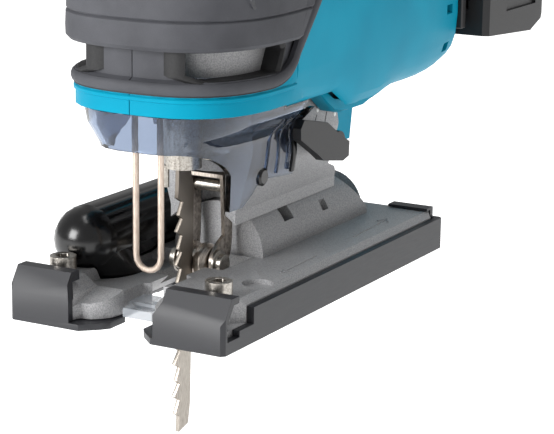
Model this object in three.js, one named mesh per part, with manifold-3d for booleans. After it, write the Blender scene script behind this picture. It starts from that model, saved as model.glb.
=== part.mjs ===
// Cordless jigsaw with a D-shaped handle, as an assembly of named pieces.
// Millimetres, +Z up. The sole lies at Z = 0, the blade cuts towards -Y, and the tool's left side is +X.
import * as THREE from 'three';
import { mergeVertices } from 'three/addons/utils/BufferGeometryUtils.js';
import Module from 'manifold-3d';

const wasm = await Module();
wasm.setup();

// ---------- driving dimensions ----------
const GAP = 0.3;                 // air between neighbouring pieces

// base and its plastic shoe
const BASE_HALF_W = 38.5;
const BASE_HALF_L = 76.5;
const BASE_TOP = 13.2;
const SOLE_T = 2;                // thickness of the shoe under the base
const RAIL_T = 2.4;              // thickness of the shoe's side rails
const RAIL_TOP = 11;
const RAIL_FRONT = -58.6;
const MOUTH_X = 6;               // half width of the mouth between the two front prongs
const SLOT_X = 8.9;              // half width of the slot behind the prongs
const BLADE_SLOT_X = 6.4;        // half width of the slot beside the blade
const SLOT_END = -18.5;          // rear end of the blade slot
const LEDGE_Z = 9.3;             // the shoe's front blocks lean back above this
const BLOCK_TOP = 16.6;
const BLOCK_LEAN = 4.7;          // how far the top of a block lies behind its foot
const BLOCK_BACK = -67.4;
const PRONG_REAR = -59.9;        // rear edge of the lowered prong tips
const LIP_FRONT_TOP = 3.9;       // the shoe's lip between block and rail, in two steps
const LIP_REAR_TOP = 5.8;
const LIP_STEP = -67.2;
const BOLT_X = 28.2;
const BOLT_Y = -62;
const BOLT_HEAD_R = 4.25;
const BOLT_HEAD_TOP = 18.7;

// bevel: the neck rocks on a round ridge of the base
const BEVEL_Z = 13.6;
const RIDGE_R = 16.6;
const RIDGE_FRONT = -14.5;
const RIDGE_BACK = 60;
const SEAT_HALF_W = 12;
const BEVEL_BOLT_Y = 6.5;

// blade and plunger
const PLUNGER_Y = -36.5;
const PLUNGER_R = 4.5;
const CRANK_Z = 112;             // height of the crank wheel's axle
const CRANK_THROW = 13;          // half of the 26 mm stroke
const CLAMP_BOTTOM = 45.4;
const CLAMP_TOP = 62;
const CLAMP_R = 5.9;
const BLADE_T = 1.4;
const BLADE_TILT = 0.028;        // how far the blade leans forward, per mm down
const BLADE_TIP = -41;
const BLADE_BACK = -30.9;        // back edge at the clamp
const TOOTH_PITCH = 5.4;
const TOOTH_DEPTH = 2.2;
const BLADE_W = 8.6;

// roller and its fork
const ROLLER_Y = -26.6;
const ROLLER_Z = 12.9;
const ROLLER_R = 6.1;
const FORK_PIN_Y = -19.5;
const FORK_PIN_Z = 36.5;
const FORK_ARM_X = 5.3;

// motor and gears
const MOTOR_Z = 90;
const GEAR_MODULE = 0.9;
const PINION_TEETH = 9;
const WHEEL_TEETH = 40;

// lever for the orbital action
const LEVER_Y = 19.5;
const LEVER_Z = 45.9;
const LEVER_X = 23.6;            // inner face of the lever's arm
const LEVER_T = 3;

// head, barrel and handle
const HEAD_HALF_W = 32;
const HEAD_FRONT = -67.5;
const RING_BOTTOM = 67;
const RUBBER_BOTTOM = 73.8;
const BELLY_Z = 63;              // underside over the neck
const SKIN = 2.4;                // thickness of the rubber
const WALL = 2.6;                // thickness of the plastic
const BARREL_REAR = 104;

// controls in the handle
const LOCK_Y = -12.5;
const LOCK_Z = 181;
const DIAL_Y = -25.2;
const DIAL_Z = 191.9;

// battery
const BATT_HALF_W = 37.5;
const BATT_FRONT = 112.6;
const BATT_REAR = 168;
const BATT_BOTTOM = 69;
const BATT_TOP = 186;

// dust nozzle
const NOZZLE_X = -29.2;
const NOZZLE_Z = 20.6;
const NOZZLE_R = 11;
const NOZZLE_FRONT = -46.5;      // where the tube's round end begins

// ---------- materials ----------
const finish = (colour, roughness, metalness) =>
  () => new THREE.MeshStandardMaterial({ color: colour, roughness, metalness });
const MAT = {
  teal: finish(0x0599b0, 0.4, 0),
  rubber: finish(0x44464c, 0.85, 0),
  black: finish(0x1b1b1f, 0.5, 0),
  shoe: finish(0x3a3b42, 0.6, 0),
  cast: finish(0xa5a5a6, 0.5, 0.8),
  steel: finish(0xb9b4ac, 0.3, 1),
  dark: finish(0x4a4844, 0.4, 1),
  clear: finish(0x76879a, 0.1, 0),
  copper: finish(0xb06a3c, 0.4, 1),
  green: finish(0x2c5a3a, 0.6, 0),
};

// ---------- solids ----------
function solid(geometry) {
  const bare = geometry.index ? geometry.toNonIndexed() : geometry.clone();
  for (const name of Object.keys(bare.attributes)) {
    if (name !== 'position') bare.deleteAttribute(name);
  }
  const merged = mergeVertices(bare, 1e-4);
  return new wasm.Manifold(new wasm.Mesh({
    numProp: 3,
    vertProperties: new Float32Array(merged.attributes.position.array),
    triVerts: new Uint32Array(merged.index.array),
  }));
}

function block(x0, x1, y0, y1, z0, z1) {
  const g = new THREE.BoxGeometry(x1 - x0, y1 - y0, z1 - z0);
  return solid(g.translate((x0 + x1) / 2, (y0 + y1) / 2, (z0 + z1) / 2));
}

// A round bar between two points, or a cone if the end radii differ.
function bar(from, to, r0, r1 = r0, sides = 24) {
  const a = new THREE.Vector3(...from);
  const b = new THREE.Vector3(...to);
  const g = new THREE.CylinderGeometry(r1, r0, a.distanceTo(b), sides);
  const turn = new THREE.Quaternion().setFromUnitVectors(
    new THREE.Vector3(0, 1, 0), b.clone().sub(a).normalize());
  g.applyQuaternion(turn);
  return solid(g.translate((a.x + b.x) / 2, (a.y + b.y) / 2, (a.z + b.z) / 2));
}

function ball(centre, radius, sides = 20) {
  return solid(new THREE.SphereGeometry(radius, sides, sides / 2).translate(...centre));
}

// An outline carried straight along an axis. Outlines are (y, z) along x, (x, z) along y, (x, y) along z.
function prism(axis, outline, from, to) {
  const shape = outline instanceof THREE.Shape
    ? outline
    : new THREE.Shape(outline.map(p => new THREE.Vector2(...p)));
  const g = new THREE.ExtrudeGeometry(shape, { depth: to - from, bevelEnabled: false, curveSegments: 10 });
  const m = new THREE.Matrix4();
  if (axis === 'x') m.set(0, 0, 1, from, 1, 0, 0, 0, 0, 1, 0, 0, 0, 0, 0, 1);
  if (axis === 'y') m.set(1, 0, 0, 0, 0, 0, -1, to, 0, 1, 0, 0, 0, 0, 0, 1);
  if (axis === 'z') m.makeTranslation(0, 0, from);
  return solid(g.applyMatrix4(m));
}

// A closed skin over a row of rings with the same number of points, capped at both ends.
function loft(rings) {
  const n = rings[0].length;
  const points = rings.flat();
  const faces = [];
  rings.slice(1).forEach((_, k) => {
    for (let i = 0; i < n; i++) {
      const a = k * n + i;
      const b = k * n + (i + 1) % n;
      faces.push(a, b, b + n, a, b + n, a + n);
    }
  });
  const last = (rings.length - 1) * n;
  for (let i = 1; i < n - 1; i++) faces.push(0, i + 1, i, last, last + i, last + i + 1);
  let volume = 0;
  for (let i = 0; i < faces.length; i += 3) {
    const [a, b, c] = [points[faces[i]], points[faces[i + 1]], points[faces[i + 2]]];
    volume += a.dot(b.clone().cross(c));
  }
  if (volume < 0) faces.reverse();
  return new wasm.Manifold(new wasm.Mesh({
    numProp: 3,
    vertProperties: new Float32Array(points.flatMap(p => p.toArray())),
    triVerts: new Uint32Array(faces),
  }));
}

// One point of a superellipse: power 2 is an ellipse, a higher power is squarer.
function superPoint(angle, half, otherHalf, power) {
  const [c, s] = [Math.cos(angle), Math.sin(angle)];
  return [
    half * Math.sign(c) * Math.abs(c) ** (2 / power),
    otherHalf * Math.sign(s) * Math.abs(s) ** (2 / power),
  ];
}

const smooth = (a, b, x) => THREE.MathUtils.smoothstep(x, a, b);
const mix = THREE.MathUtils.lerp;
const add = (...solids) => solids.reduce((a, b) => a.add(b));
const cut = (body, ...tools) => tools.reduce((a, b) => a.subtract(b), body);
// A span across the tool from a to b on the +X side, or its mirror image.
const across = (side, a, b) => side < 0 ? [-b, -a] : [a, b];

const tool = new THREE.Group();

function put(name, body, material) {
  const { vertProperties, triVerts } = body.getMesh();
  const g = new THREE.BufferGeometry();
  g.setAttribute('position', new THREE.BufferAttribute(new Float32Array(vertProperties), 3));
  g.setIndex(new THREE.BufferAttribute(new Uint32Array(triVerts), 1));
  g.computeVertexNormals();
  const mesh = new THREE.Mesh(g, material());
  mesh.name = name;
  tool.add(mesh);
}

// ---------- base ----------
const nozzleElbow = (r, length) => bar([NOZZLE_X, NOZZLE_FRONT, NOZZLE_Z],
  [NOZZLE_X + 0.15 * length, NOZZLE_FRONT + 0.58 * length, NOZZLE_Z - 0.8 * length], r);
const nozzleTube = (r, back) => add(bar([NOZZLE_X, NOZZLE_FRONT, NOZZLE_Z], [NOZZLE_X, back, NOZZLE_Z], r),
  ball([NOZZLE_X, NOZZLE_FRONT, NOZZLE_Z], r));

// Points of the +X half, followed by their mirror images in the opposite order.
const bothSides = (half) => [...half, ...half.map(([x, v]) => [-x, v]).reverse()];

// The slot that the blade, roller and fork reach through, wider at the sole so that the blade can lean.
function bladeSlot() {
  const soleHalf = 16.5;
  const plan = bothSides([[MOUTH_X, PRONG_REAR - 1], [SLOT_X, PRONG_REAR + 3], [SLOT_X, -46],
    [BLADE_SLOT_X, -44.8], [BLADE_SLOT_X, SLOT_END]]);
  return add(
    prism('z', plan, -1, 40),
    prism('y', bothSides([[soleHalf, -1], [BLADE_SLOT_X, LEDGE_Z]]), -44.6, SLOT_END),
  );
}

function basePlate() {
  const w = BASE_HALF_W - RAIL_T - GAP;
  const nose = -BASE_HALF_L + 2.7;
  const top = BASE_TOP;
  const plan = bothSides([[w - 2, 74], [w, 72], [w, nose + 1.5], [w - 1.5, nose], [17.1, nose],
    [15.5, -70.9], [12.5, -70.4], [10, -68.3], [7.9, -65.5], [7.3, -62], [7.3, -50]]);
  const edge = prism('y', bothSides([[w, SOLE_T + GAP], [w, RAIL_TOP + GAP], [w - 2, top]]), -90, 90);
  // the ridge ends in a slope behind the neck
  const ridge = bar([0, RIDGE_FRONT, BEVEL_Z], [0, RIDGE_BACK, BEVEL_Z], RIDGE_R, RIDGE_R, 48).subtract(
    prism('x', [[RIDGE_BACK + 2, top], [RIDGE_BACK - 14, 31], [90, 31], [90, top]], -30, 30));
  const tail = bar([0, RIDGE_BACK - 1, BEVEL_Z - 1.6], [0, 71, BEVEL_Z - 5], RIDGE_R - 1.6, 9, 40);
  let plate = prism('z', plan, SOLE_T + GAP, top).intersect(edge).add(ridge).add(tail);
  plate = plate.intersect(block(-w, w, -90, 74, SOLE_T + GAP, 40));
  // the front edge leans back under the shoe's blocks
  const front = prism('x', [[-90, LEDGE_Z - 1], [nose, LEDGE_Z - 1], [nose + 3.2, top + 0.1],
    [nose + 3.2, 40], [-90, 40]], -60, 60);
  // room in front of the ridge for the fork and roller to lean with the machine
  const well = bar([0, -34, BEVEL_Z], [0, RIDGE_FRONT - 1, BEVEL_Z], 13, 13, 40);
  // room under the ridge for the bevel bolt, and the arc slots for its shank and for the stop
  const tunnel = bar([0, BEVEL_BOLT_Y - 13, BEVEL_Z], [0, BEVEL_BOLT_Y + 14, BEVEL_Z], 11.2, 11.2, 40);
  const access = block(-8, 8, BEVEL_BOLT_Y - 13, BEVEL_BOLT_Y + 14, 0, BEVEL_Z);
  const arc = [[-3.2, 10], [3.2, 10], [22, 28.8], [17.4, 33.2], [-3.2, 31]];
  plate = cut(plate, bladeSlot(), front, well, tunnel, access,
    prism('y', arc, BEVEL_BOLT_Y - 3.2, BEVEL_BOLT_Y + 3.2),
    prism('y', [[11.5, 20.4], [13.6, 18.4], [22, 26], [17.4, 30]], 29, 33));
  plate = cut(plate, nozzleTube(NOZZLE_R + 0.6, 100), nozzleElbow(10.4, 30));
  // the dust runs over a lower floor to the nozzle's mouth
  plate = cut(plate, block(-23, 0, PRONG_REAR, SLOT_END - 0.5, 8.7, 30));
  for (const side of [-1, 1]) {
    const onSide = ([x, v]) => [side * x, v];
    // the prong's tip is low and slopes to the front
    const slope = [[3, 10], [17, 10], [21.5, top + 0.1], [21.5, 30], [3, 30]];
    // recess with a hook hole between the front block and the side rail
    const recess = [[w + 1, -71.8], [w - 3.2, -71.8], [w - 3.2, BOLT_Y], [w + 1, RAIL_FRONT + 1]];
    plate = cut(plate,
      prism('x', [[-80, 4.7], [PRONG_REAR, 10], [PRONG_REAR, 30], [-80, 30]], ...across(side, 3, 17)),
      prism('y', slope.map(onSide), -80, PRONG_REAR),
      prism('z', recess.map(onSide), LIP_REAR_TOP, 30),
      block(...across(side, 29.6, 33), -70.2, -65.7, 7.2, 11.4),
      bar([side * BOLT_X, BOLT_Y, SOLE_T], [side * BOLT_X, BOLT_Y, 20], 2.8),
      // round pocket behind the bolt
      bar([side * 30, -41.5, 11.6], [side * 30, -41.5, 20], 5, 5, 28));
  }
  return plate;
}

function baseShoe() {
  const w = BASE_HALF_W;
  const inner = w - RAIL_T;
  const front = -BASE_HALF_L;
  const under = BASE_TOP + GAP;
  const plan = bothSides([[w - 1.2, BASE_HALF_L], [w, BASE_HALF_L - 1.2], [w, front + 1.2], [w - 1.2, front],
    [13, front], [8, front + 4.6], [MOUTH_X, front + 7.3], [MOUTH_X, -50]]);
  // the front blocks lean back above the ledge, outside and inside
  const lean = [[-90, LEDGE_Z], [front, LEDGE_Z], [front + BLOCK_LEAN, BLOCK_TOP], [front + BLOCK_LEAN, 30],
    [-90, 30]];
  const room = [[front + 2.4, SOLE_T], [front + 2.4, LEDGE_Z - 0.7], [front + 5.6, under], [74.2, under],
    [74.2, SOLE_T]];
  let shoe = cut(prism('z', plan, 0, BLOCK_TOP),
    prism('x', lean, -60, 60),
    prism('x', room, -inner, inner),
    block(-w - 1, w + 1, BLOCK_BACK, 90, under - 0.5, 30),
    block(-w - 1, w + 1, RAIL_FRONT, 90, RAIL_TOP, 30),
    block(-inner + 8, inner - 8, 70, 90, SOLE_T + 2, 30));
  // between block and rail only a low lip stands beside the plate
  const gap = [[front + 2.2, LIP_FRONT_TOP], [front + 2.2, LEDGE_Z], [front + 6, 14.5], [BLOCK_BACK, 14.5],
    [BLOCK_BACK, 30], [RAIL_FRONT, 30], [RAIL_FRONT, LIP_REAR_TOP], [LIP_STEP, LIP_REAR_TOP],
    [LIP_STEP, LIP_FRONT_TOP]];
  // clip that holds the rear edge of the base
  const clip = [[73.2, 0], [76.5, 0], [76.5, 14.4], [71.5, 14.4], [71.5, under], [74.3, under],
    [74.3, SOLE_T]];
  for (const side of [-1, 1]) {
    // the blocks stop short of the mouth, the right one sooner
    const end = side < 0 ? 16.5 : 13.8;
    const stop = [[0, SOLE_T], [end, SOLE_T], [end, LEDGE_Z], [end + 2, BASE_TOP], [end + 2, 30], [0, 30]];
    shoe = cut(shoe,
      prism('x', gap, ...across(side, inner - 0.1, w + 1)),
      prism('y', stop.map(([x, z]) => [side * x, z]), -90, -60));
    shoe = shoe.add(prism('x', clip, ...across(side, 19.3, 34.6)));
    const hole = across(side, BOLT_X - 4.4, BOLT_X + 4.4);
    shoe = cut(shoe, block(...hole, BOLT_Y - 2.2, BOLT_Y + 2.2, -1, SOLE_T + 1));
  }
  return cut(shoe, bladeSlot(), bar([0, BEVEL_BOLT_Y, -1], [0, BEVEL_BOLT_Y, 9], 6), nozzleElbow(10.4, 30));
}

function socketBolt(side) {
  const [x, y] = [side * BOLT_X, BOLT_Y];
  return cut(
    add(bar([x, y, BASE_TOP + GAP], [x, y, BOLT_HEAD_TOP], BOLT_HEAD_R),
      bar([x, y, SOLE_T + 0.5], [x, y, BOLT_HEAD_TOP - 1], 2.5)),
    bar([x, y, BOLT_HEAD_TOP - 2.6], [x, y, 30], 2.3, 2.3, 6));
}

function dustNozzle() {
  const elbow = nozzleElbow(9.8, 22).intersect(block(-60, 0, -70, 0, SOLE_T + 0.8, 40));
  return cut(add(nozzleTube(NOZZLE_R, 66), elbow), nozzleTube(8.8, 80), nozzleElbow(7.8, 40));
}

function splinterGuard() {
  const [narrow, wide] = [MOUTH_X - 0.6, SLOT_X - 0.8];
  const plan = bothSides([[narrow, -63.4], [narrow, PRONG_REAR], [wide, PRONG_REAR + 3.4], [wide, -46.4]]);
  return cut(
    prism('z', plan, 2.4, 5.4),
    block(-1.6, 1.6, -52, -40, 0, 10),
    prism('z', bothSides([[1, -61.4], [wide - 1.6, -56]]), 4.4, 10));
}

put('base_plate', basePlate(), MAT.cast);
put('base_shoe', baseShoe(), MAT.shoe);
put('prong_bolt_right', socketBolt(-1), MAT.steel);
put('prong_bolt_left', socketBolt(1), MAT.steel);
put('dust_nozzle', dustNozzle(), MAT.black);
put('splinter_guard', splinterGuard(), MAT.clear);

// ---------- housing ----------
const SIDES = 28;
const ringAngles = Array.from({ length: SIDES }, (_, i) => (i + 0.5) / SIDES * Math.PI * 2);

// The head stands over the blade: a rounded block whose front bulges in a grip band.
function headRing(z, inset) {
  const rise = smooth(118, 150, z);
  const halfW = mix(HEAD_HALF_W, 25, rise) - inset;
  const front = mix(HEAD_FRONT, -60, rise) + inset;
  const back = mix(4, -12, rise) - inset;
  return ringAngles.map(a => {
    const [x, y] = superPoint(a, halfW, (back - front) / 2, 2.7);
    return new THREE.Vector3(x, y + (front + back) / 2, z);
  });
}

// The barrel holds the motor. Its belly is flat over the neck, with squarer corners, and sags behind it.
function barrelRing(y, inset) {
  const sag = mix(mix(BELLY_Z, 52.9, smooth(11, 27, y)), 57, smooth(43, 60, y));
  const low = mix(sag, 60, smooth(90, BARREL_REAR, y)) + inset;
  const high = mix(122, 120, smooth(60, BARREL_REAR, y)) - inset;
  const halfW = mix(31.5, 29.5, smooth(70, BARREL_REAR, y)) - inset;
  return ringAngles.map(a => {
    const power = a < Math.PI ? 2.6 : mix(7, 4.2, smooth(15, 30, y));
    const [x, z] = superPoint(a, halfW, (high - low) / 2, power);
    return new THREE.Vector3(x, y, z + (high + low) / 2);
  });
}

// Stations of the D handle, front to rear: centre y, centre z, half thickness, half width.
const HANDLE = [
  [-37, 122, 26, 28],
  [-37.5, 150, 23.5, 23],
  [-31, 174, 21, 19.5],
  [-8, 189, 18.6, 17],
  [28, 190.5, 17.2, 16],
  [64, 186.5, 17.4, 16.6],
  [87, 168, 15.5, 21],
  [93, 140, 13.5, 26],
  [92, 100, 13, 28],
];
const handlePath = new THREE.CatmullRomCurve3(HANDLE.map(s => new THREE.Vector3(0, s[0], s[1])));
const handleSizes = new THREE.CatmullRomCurve3(HANDLE.map(s => new THREE.Vector3(s[2], s[3], 0)));

function handleRing(t, inset, count = 22) {
  const centre = handlePath.getPoint(t);
  const along = handlePath.getTangent(t);
  const up = new THREE.Vector3(0, along.z, -along.y);
  const size = handleSizes.getPoint(t);
  return Array.from({ length: count }, (_, i) => {
    const [x, v] = superPoint((i + 0.5) / count * Math.PI * 2, size.y - inset, size.x - inset, 2.5);
    return centre.clone().addScaledVector(up, v).add(new THREE.Vector3(x, 0, 0));
  });
}

const range = (from, to, steps) => Array.from({ length: steps + 1 }, (_, i) => mix(from, to, i / steps));
const head = (inset) => loft([
  ...range(RING_BOTTOM + (inset ? -6 : 0), 118, 2), ...range(122, 148 - inset, 4),
].map(z => headRing(z, inset)));
const barrel = (inset, back) => loft(range(-20, back, 12).map(y => barrelRing(y, inset)));
const handle = (inset) => loft(range(0, 1, 20).map(t => handleRing(t, inset)));

// Side view of the rubber on the head: its lower edge follows the ring, then climbs back and up.
function rubberRegion(grow) {
  const s = new THREE.Shape();
  s.moveTo(-90, RUBBER_BOTTOM - grow);
  s.lineTo(-38, RUBBER_BOTTOM - grow);
  s.quadraticCurveTo(-27 + grow, RUBBER_BOTTOM - grow, -21.5 + grow, 79);
  s.lineTo(-3 + grow, 100);
  s.quadraticCurveTo(3 + grow, 112, -6 + grow, 132);
  s.lineTo(-20 + grow, 150 + grow);
  s.lineTo(-90, 150 + grow);
  return prism('x', s, -50, 50);
}

// Side view of the rubber on the grip.
function gripRegion(grow) {
  const outline = [[-2 - grow, 150], [-18 - grow, 182], [-14 - grow, 197], [-6, 203], [60, 203],
    [84 + grow, 186], [84 + grow, 150]];
  return prism('x', outline, -50, 50);
}

// Window in each side of the head, through rubber and housing.
const windowOutline = [[-64.5, 79.5], [-60.5, 77.8], [-33, 77.8], [-29.6, 84.5], [-31, 86.8], [-64.5, 86.8]];

// The leg behind the neck.
const legOutline = [[36.5, 70], [36.5, 42], [47.5, 42], [49.5, 54], [56, 60], [60, 70]];

// The arch over the neck.
const archOutline = [[-29, 60], [-29, 71.4], [-3, 71.4], [0, 68.6], [28, 68.6], [34, 61], [36.4, 54],
  [36.4, 40], [-29, 40]];

// Air that the lever's arm sweeps through.
const leverSweep = () => bar([LEVER_X - 0.5, LEVER_Y, LEVER_Z], [LEVER_X + LEVER_T + 0.5, LEVER_Y, LEVER_Z],
  30.5, 30.5, 48);

// One side of a shell that is split along the middle, without the crumbs left by the cuts.
function halfOf(body, side) {
  const half = body.intersect(block(...across(side, GAP / 2, 80), -100, 130, 0, 230));
  return half.decompose().sort((a, b) => b.volume() - a.volume())[0];
}

function housingHalf(side) {
  let shell = add(head(0), barrel(0, BARREL_REAR), handle(0), prism('x', legOutline, -15.5, 15.5));
  const bareBarrel = barrel(0, BARREL_REAR).subtract(head(0));
  const rubberBed = rubberRegion(GAP).subtract(add(head(SKIN), handle(SKIN), bareBarrel));
  const gripBed = gripRegion(GAP).subtract(handle(SKIN));
  const gripOnly = gripBed.intersect(block(-60, 60, -20, 90, 168, 220));
  shell = cut(shell, rubberBed.intersect(block(-60, 60, -90, 4.2, 0, 160)), gripOnly);
  shell = cut(shell, head(SKIN + WALL), barrel(WALL, BARREL_REAR - WALL), handle(SKIN + WALL));
  shell = cut(shell, prism('x', windowOutline, ...across(side, 14, 50)),
    prism('x', archOutline, -17.8, 17.8));
  // vent slots in the rear ring
  for (let i = 0; i < 9; i++) {
    const a = THREE.MathUtils.degToRad(-60 + i * 22.5);
    const [x, z] = [Math.cos(a) * 40, MOTOR_Z + Math.sin(a) * 40];
    const slot = block(-12, 12, 94, 99, -1.6, 1.6).rotate([0, -THREE.MathUtils.radToDeg(a), 0]);
    shell = cut(shell, slot.translate([x * 0.8, 0, MOTOR_Z + (z - MOTOR_Z) * 0.8]),
      slot.mirror([1, 0, 0]).translate([-x * 0.8, 0, MOTOR_Z + (z - MOTOR_Z) * 0.8]));
  }
  // openings for the trigger, lock button, dial, and the rear socket of the battery holder
  shell = cut(shell,
    block(-8.3, 8.3, -6.3, 24.3, 160, 182),
    bar([8.5, LOCK_Y, LOCK_Z], [60, LOCK_Y, LOCK_Z], 5.4),
    bar([-5.4, DIAL_Y, DIAL_Z], [5.4, DIAL_Y, DIAL_Z], 13, 13, 36),
    block(-24.3, 24.3, 99, 115, 79.7, 168.3),
    leverSweep());
  return halfOf(shell, side);
}

function headRubber(side) {
  const skin = head(0).intersect(rubberRegion(0)).subtract(add(head(SKIN - GAP), handle(SKIN - GAP)));
  const upper = handle(0).intersect(rubberRegion(0)).subtract(add(handle(SKIN - GAP), head(SKIN - GAP)));
  const rubber = add(skin, upper).subtract(barrel(-GAP, BARREL_REAR).subtract(head(0)));
  return halfOf(cut(rubber, prism('x', windowOutline, ...across(side, 14, 50))), side);
}

function gripRubber(side) {
  const zone = gripRegion(0).intersect(block(-60, 60, -19.7, 90, 168.3, 220));
  const rubber = handle(0).intersect(zone).subtract(handle(SKIN - GAP));
  return halfOf(cut(rubber,
    block(-8.6, 8.6, -6.6, 24.6, 160, 182),
    bar([10, LOCK_Y, LOCK_Z], [60, LOCK_Y, LOCK_Z], 5.8)), side);
}

for (const [side, name] of [[-1, 'right'], [1, 'left']]) {
  put(`housing_${name}`, housingHalf(side), MAT.teal);
  put(`head_rubber_${name}`, headRubber(side), MAT.rubber);
  put(`grip_rubber_${name}`, gripRubber(side), MAT.rubber);
}

// ---------- neck and gear case ----------
// Outline across the neck: narrow at the seat, then leaning out to full width.
const neckHalf = [[SEAT_HALF_W, 20], [SEAT_HALF_W, 29.5], [15.8, 44], [17, 49]];
const neckOutline = [...neckHalf, [17, 90], [-17, 90], ...neckHalf.map(([x, z]) => [-x, z]).reverse()];

function gearCase() {
  const side = [[-24.5, 20], [46, 20], [46, 28], [41.5, 33], [36, 35], [36, 50], [33, 60], [27, 65],
    [-24.5, 65]];
  const seat = prism('y', neckOutline, -24.5, 43.5).intersect(prism('x', side, -30, 30));
  const nose = bar([0, -13.5, 42.5], [0, -13.5, 65], 13.5, 13.5, 32);
  const column = block(-17, 17, -24.5, -5, 60, 82);
  const plan = ringAngles.map(a => superPoint(a, 25.5, 27, 3.2)).map(([x, y]) => [x, y - 31]);
  const box = prism('z', plan, 78, 143).intersect(add(head(SKIN + WALL + GAP), handle(SKIN + WALL + GAP)));
  const hollow = ringAngles.map(a => superPoint(a, 22.5, 22.5, 3.6)).map(([x, y]) => [x, y - 29.5]);
  const inside = prism('z', hollow, 81, 140);
  let body = cut(add(seat, nose, column, box), inside,
    bar([0, -60, BEVEL_Z], [0, 60, BEVEL_Z], RIDGE_R + GAP, RIDGE_R + GAP, 48));
  // pocket for the fork with its pivot pin, and the bore of the lever's shaft
  body = cut(body,
    block(-8.3, 8.3, -30, -11, 20, 42.6),
    bar([-9.8, FORK_PIN_Y, FORK_PIN_Z], [9.8, FORK_PIN_Y, FORK_PIN_Z], 2.3),
    bar([-11, LEVER_Y, LEVER_Z], [20, LEVER_Y, LEVER_Z], 3.3));
  // bores for the plunger, the motor shaft and the wheel's axle, and the bevel bolt's thread
  return cut(body,
    bar([0, PLUNGER_Y, 70], [0, PLUNGER_Y, 160], 6),
    bar([0, -12, MOTOR_Z], [0, 0, MOTOR_Z], 8),
    bar([0, -8, CRANK_Z], [0, 0, CRANK_Z], 4.3),
    bar([0, BEVEL_BOLT_Y, 24], [0, BEVEL_BOLT_Y, 44], 2.9));
}

function bevelBolt() {
  const at = (z) => [0, BEVEL_BOLT_Y, z];
  return cut(add(bar(at(5.4), at(10.2), 4.2), bar(at(9), at(43), 2.5)), bar(at(0), at(8), 2.3, 2.3, 6));
}

// ---------- blade drive ----------
// The wheel and pinion have involute flanks, thinned a little for backlash.
function gearOutline(teeth, turn) {
  const pitchR = teeth * GEAR_MODULE / 2;
  const baseR = pitchR * Math.cos(THREE.MathUtils.degToRad(20));
  const involute = (r) => {
    const p = Math.acos(Math.min(1, baseR / r));
    return Math.tan(p) - p;
  };
  const halfAtPitch = Math.PI / 2 / teeth - 0.09 / pitchR;
  const tip = pitchR + 0.82 * GEAR_MODULE;
  const root = pitchR - 1.2 * GEAR_MODULE;
  const radii = [root, pitchR, tip];
  const outline = [];
  for (let k = 0; k < teeth; k++) {
    const middle = turn + k / teeth * Math.PI * 2;
    const half = radii.map(r => halfAtPitch + involute(pitchR) - involute(r));
    radii.forEach((r, i) => outline.push([r * Math.cos(middle - half[i]), r * Math.sin(middle - half[i])]));
    [...radii].reverse().forEach((r, i) => {
      outline.push([r * Math.cos(middle + half[2 - i]), r * Math.sin(middle + half[2 - i])]);
    });
  }
  return outline;
}

const shifted = (outline, z) => outline.map(([x, y]) => [x, y + z]);

function crankWheel() {
  const outline = gearOutline(WHEEL_TEETH, Math.PI / WHEEL_TEETH - Math.PI / 2);
  return add(prism('y', shifted(outline, CRANK_Z), -22, -16),
    bar([CRANK_THROW, -27.6, CRANK_Z], [CRANK_THROW, -20, CRANK_Z], 2.6),
    bar([0, -18, CRANK_Z], [0, -3.5, CRANK_Z], 4));
}

function rotorShaft() {
  const pinion = prism('y', shifted(gearOutline(PINION_TEETH, Math.PI / 2), MOTOR_Z), -23, -13);
  return add(pinion, bar([0, -14, MOTOR_Z], [0, 92, MOTOR_Z], 2.6));
}

function plunger() {
  const rod = bar([0, PLUNGER_Y, CLAMP_BOTTOM + 4], [0, PLUNGER_Y, 151], PLUNGER_R);
  const yoke = block(-18.5, 18.5, PLUNGER_Y + 2, -28.1, CRANK_Z - 6, CRANK_Z + 6);
  const slot = block(-16, 16, PLUNGER_Y + PLUNGER_R + 0.5, -20, CRANK_Z - 3, CRANK_Z + 3);
  const tang = block(-BLADE_T / 2 - 0.2, BLADE_T / 2 + 0.2, -50, -20, 40, 57.5);
  return cut(add(rod, yoke), slot, tang);
}

// Holder of the plunger's two bushings: it hangs from its top so that the blade can swing forward.
function plungerGuide() {
  const plate = block(-9, 9, -47.5, -44.5, 82.5, 137.5);
  const bushing = (z) => block(-9, 9, -46, -30.5, z, z + 5.5);
  return cut(add(plate, bushing(82.5), bushing(132)),
    bar([0, PLUNGER_Y, 70], [0, PLUNGER_Y, 160], PLUNGER_R + GAP, PLUNGER_R + GAP, 24));
}

function clampSleeve() {
  const y = PLUNGER_Y;
  const sleeve = cut(bar([0, y, CLAMP_BOTTOM], [0, y, CLAMP_TOP], CLAMP_R, CLAMP_R, 32),
    bar([0, y, 0], [0, y, 90], PLUNGER_R + GAP, PLUNGER_R + GAP, 32));
  return add(sleeve, bar([-3.9, y - 3.9, CLAMP_BOTTOM - 6], [-3.9, y - 3.9, CLAMP_BOTTOM + 1], 1.3, 1.3, 12)
    .subtract(bar([0, y, 0], [0, y, 90], PLUNGER_R + GAP, PLUNGER_R + GAP, 32)));
}

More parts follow.
